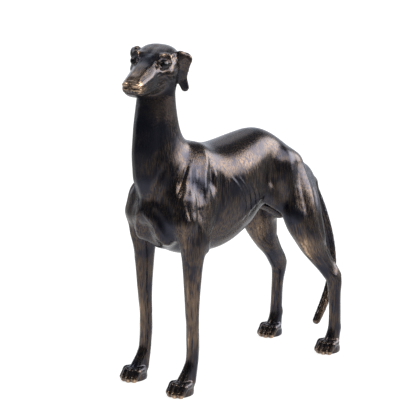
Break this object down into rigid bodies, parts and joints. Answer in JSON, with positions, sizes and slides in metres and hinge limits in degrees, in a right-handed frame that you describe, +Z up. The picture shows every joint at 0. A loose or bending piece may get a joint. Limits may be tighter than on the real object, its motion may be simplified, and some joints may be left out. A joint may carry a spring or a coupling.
{
  "type": "greyhound statue",
  "caption": "Standing greyhound statue cast in one piece, alert head turned to its left, long hanging tail, resting on its paws; dark patinated bronze finish.",
  "frame": {"origin": "on the ground under the middle of the statue's bounding box", "axes": "+Z up; the dog faces -Y; +X is the dog's left side"},
  "size_m": [0.2409, 0.6933, 0.7606],
  "materials": {
    "bronze": "dark blue-black patina, semi-gloss, rubbed to warm bronze on the raised forms"
  },
  "bodies": {
    "root": {"greyhound": "bronze"}
  },
  "joints": []
}
